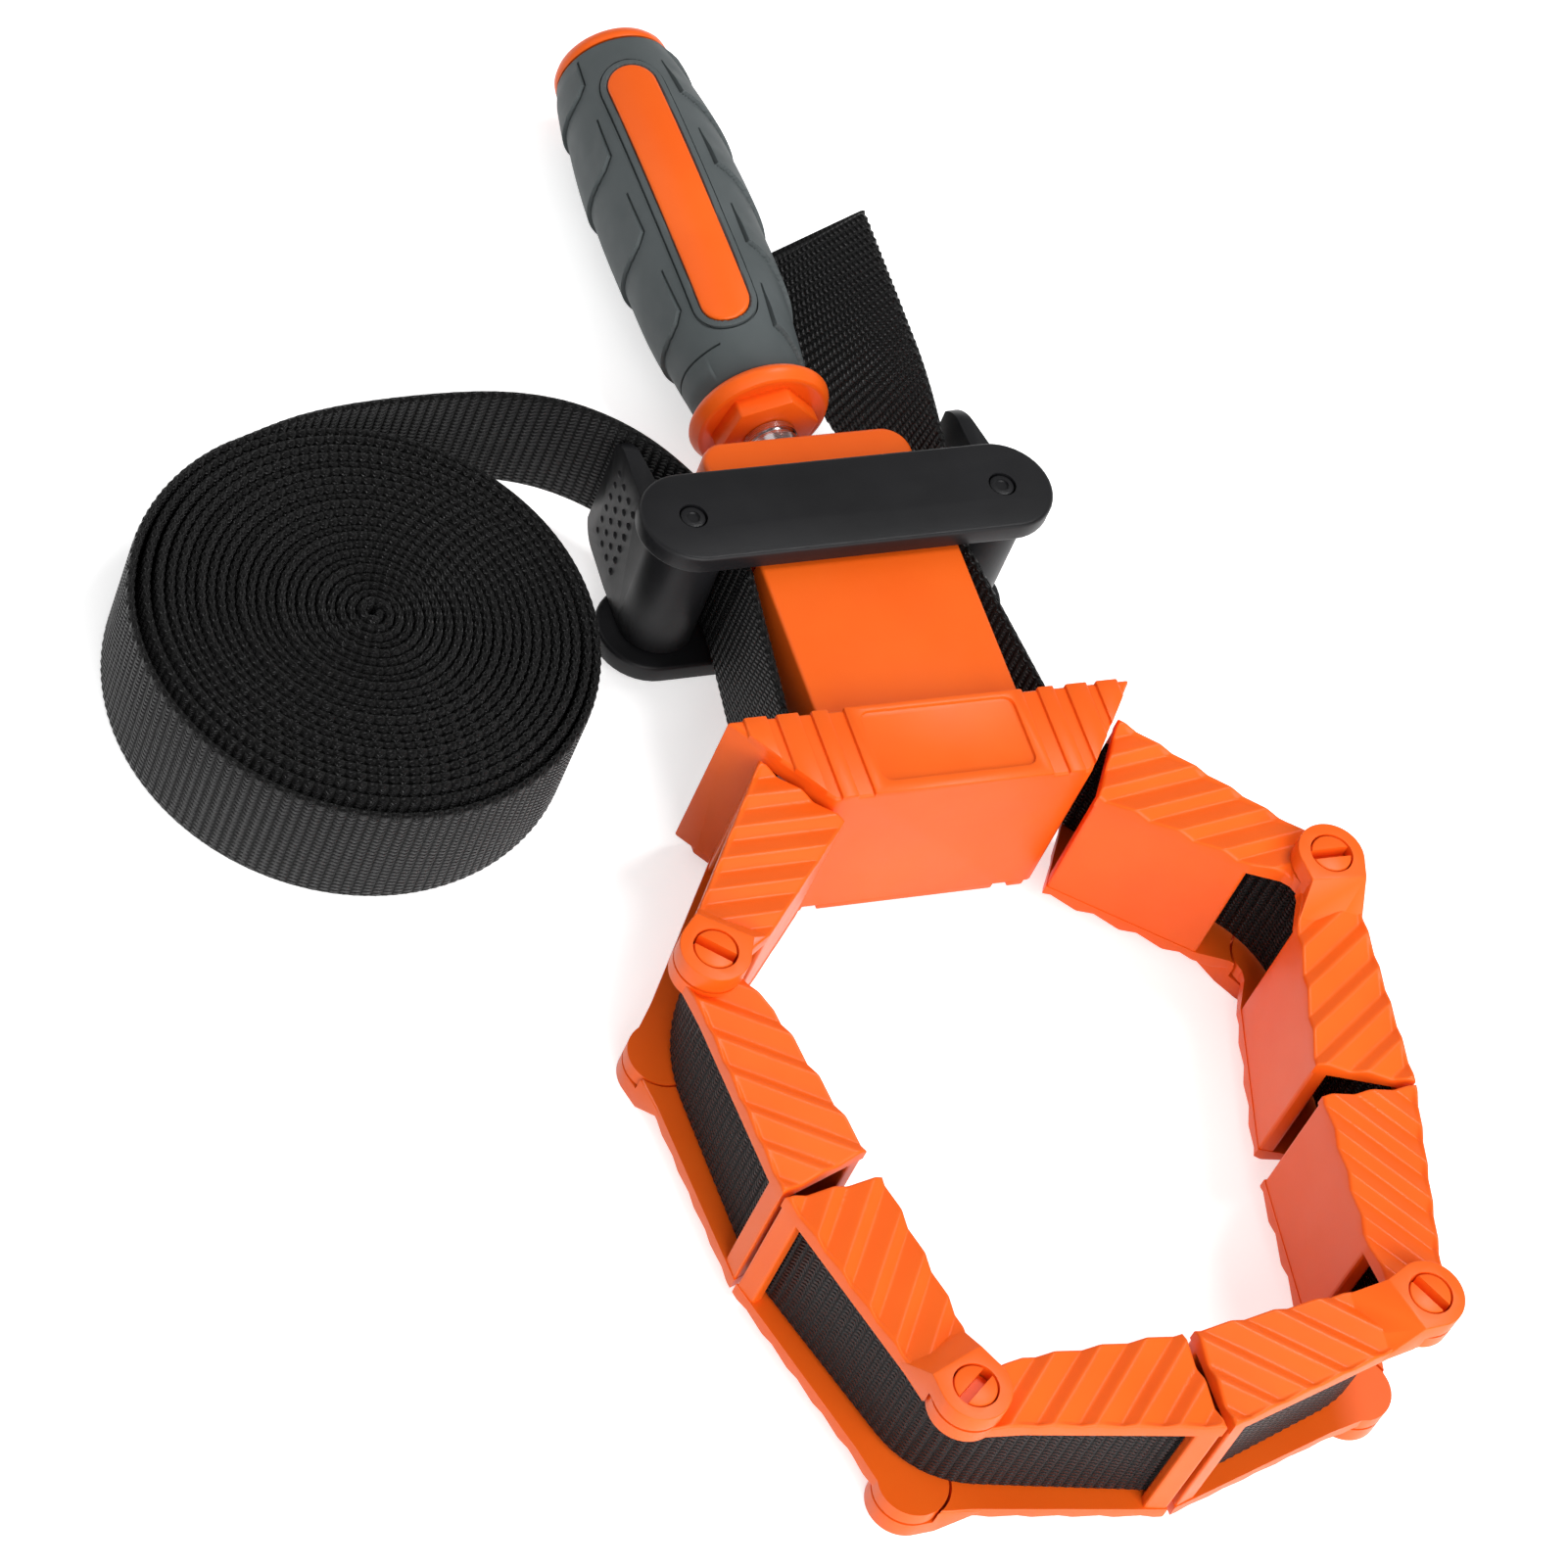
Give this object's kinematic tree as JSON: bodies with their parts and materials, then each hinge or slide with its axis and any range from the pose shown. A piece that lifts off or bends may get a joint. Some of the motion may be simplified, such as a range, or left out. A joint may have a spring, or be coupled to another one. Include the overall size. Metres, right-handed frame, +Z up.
{
  "type": "band clamp",
  "caption": "Screw-tensioned band clamp: woven band through hinged corner jaws, locked by cam levers and drawn tight by a handle on a spindle; spare band lies in a flat coil.",
  "frame": {"origin": "centre of the head's flat work face, on the spindle axis and at mid height", "axes": "+Y along the spindle towards the handle, +Z up from the surface that the clamp lies on, +X to the right"},
  "size_m": [0.207, 0.32, 0.0418],
  "materials": {
    "jaw_plastic": "glass-filled moulded plastic",
    "body_plastic": "moulded plastic, satin",
    "black_plastic": "moulded plastic",
    "grip_rubber": "soft overmould",
    "steel": "turned",
    "webbing": "woven polyester"
  },
  "bodies": {
    "head": {"head": "body_plastic", "spindle_nut": "steel", "band_head_left": "webbing", "band_head_right": "webbing", "band_run_left": "webbing", "band_run_right": "webbing"},
    "crossbar": {"slide_block": "body_plastic", "crossbar_top_plate": "black_plastic", "crossbar_bottom_plate": "black_plastic", "cam_pin_left": "steel", "cam_pin_right": "steel", "band_coil": "webbing", "band_tail": "webbing"},
    "handle": {"spindle": "steel", "thrust_ring": "steel", "handle_core": "body_plastic", "handle_grip": "grip_rubber"},
    "cam_left": {"cam_lever_left": "black_plastic"},
    "cam_right": {"cam_lever_right": "black_plastic"},
    "jaw_a1": {"jaw_a1": "jaw_plastic", "band_a1": "webbing", "band_knuckle_a": "webbing"},
    "jaw_a2": {"jaw_a2": "jaw_plastic", "band_a2": "webbing"},
    "jaw_b1": {"jaw_b1": "jaw_plastic", "band_b1": "webbing", "band_knuckle_b": "webbing"},
    "jaw_b2": {"jaw_b2": "jaw_plastic", "band_b2": "webbing"},
    "jaw_c1": {"jaw_c1": "jaw_plastic", "band_c1": "webbing"},
    "jaw_c2": {"jaw_c2": "jaw_plastic", "band_c2": "webbing", "band_knuckle_c": "webbing"},
    "jaw_d1": {"jaw_d1": "jaw_plastic", "band_d1": "webbing"},
    "jaw_d2": {"jaw_d2": "jaw_plastic", "band_d2": "webbing", "band_knuckle_d": "webbing"}
  },
  "joints": [
    {"name": "knuckle_a", "type": "hinge", "parent": "jaw_a1", "child": "jaw_a2", "pos_m": [0.0637, -0.0246, 0], "axis": [0, 0, -1], "range_deg": [0, 11], "deforming": ["band_knuckle_a"]},
    {"name": "head_to_a", "type": "hinge", "parent": "head", "child": "jaw_a1", "pos_m": [0.03315, 0.00898, 0], "axis": [0, 0, -1], "range_deg": [-5.93, 0]},
    {"name": "a_to_b", "type": "hinge", "parent": "jaw_a2", "child": "jaw_b1", "pos_m": [0.06051, -0.06989, 0], "axis": [0, 0, -1], "range_deg": [-8.54, 0]},
    {"name": "knuckle_b", "type": "hinge", "parent": "jaw_b1", "child": "jaw_b2", "pos_m": [0.0469, -0.1132, 0], "axis": [0, 0, -1], "range_deg": [0, 8.03], "deforming": ["band_knuckle_b"]},
    {"name": "head_to_d", "type": "hinge", "parent": "head", "child": "jaw_d2", "pos_m": [-0.03315, 0.00898, 0], "axis": [0, 0, 1], "range_deg": [-5.81, 0]},
    {"name": "knuckle_d", "type": "hinge", "parent": "jaw_d2", "child": "jaw_d1", "pos_m": [-0.05879, -0.02848, 0], "axis": [0, 0, 1], "range_deg": [0, 11.91], "deforming": ["band_knuckle_d"]},
    {"name": "d_to_c", "type": "hinge", "parent": "jaw_d1", "child": "jaw_c2", "pos_m": [-0.0566, -0.07383, 0], "axis": [0, 0, 1], "range_deg": [-7.81, 0]},
    {"name": "knuckle_c", "type": "hinge", "parent": "jaw_c2", "child": "jaw_c1", "pos_m": [-0.0411, -0.1165, 0], "axis": [0, 0, 1], "range_deg": [0, 6.38], "deforming": ["band_knuckle_c"]},
    {"name": "crossbar_slide", "type": "slide", "parent": "head", "child": "crossbar", "axis": [-0.0157, 0.9991, -0.0384], "range_m": [0, 0.022], "deforming": ["band_run_left", "band_run_right"]},
    {"name": "handle_turn", "type": "hinge", "parent": "crossbar", "child": "handle", "pos_m": [-0.00075, 0.08996, -0.00184], "axis": [0.0157, -0.9991, 0.0384], "range_deg": [0, 3960.9]},
    {"name": "cam_left_swing", "type": "hinge", "parent": "crossbar", "child": "cam_left", "pos_m": [-0.03183, 0.06299, -0.00083], "axis": [-0.0006, 0.0384, 0.9993], "range_deg": [0, 40]},
    {"name": "cam_right_swing", "type": "hinge", "parent": "crossbar", "child": "cam_right", "pos_m": [0.03116, 0.06398, -0.00083], "axis": [0.0006, -0.0384, -0.9993], "range_deg": [0, 40]}
  ],
  "couplings": [
    {"joint": "head_to_a", "follows": "knuckle_a", "ratio": -0.538},
    {"joint": "a_to_b", "follows": "knuckle_a", "ratio": -0.775},
    {"joint": "knuckle_b", "follows": "knuckle_a", "ratio": 0.729},
    {"joint": "head_to_d", "follows": "knuckle_a", "ratio": -0.527},
    {"joint": "knuckle_d", "follows": "knuckle_a", "ratio": 1.082},
    {"joint": "d_to_c", "follows": "knuckle_a", "ratio": -0.709},
    {"joint": "knuckle_c", "follows": "knuckle_a", "ratio": 0.579},
    {"joint": "handle_turn", "follows": "crossbar_slide", "rad_per_m": 3141.6}
  ]
}
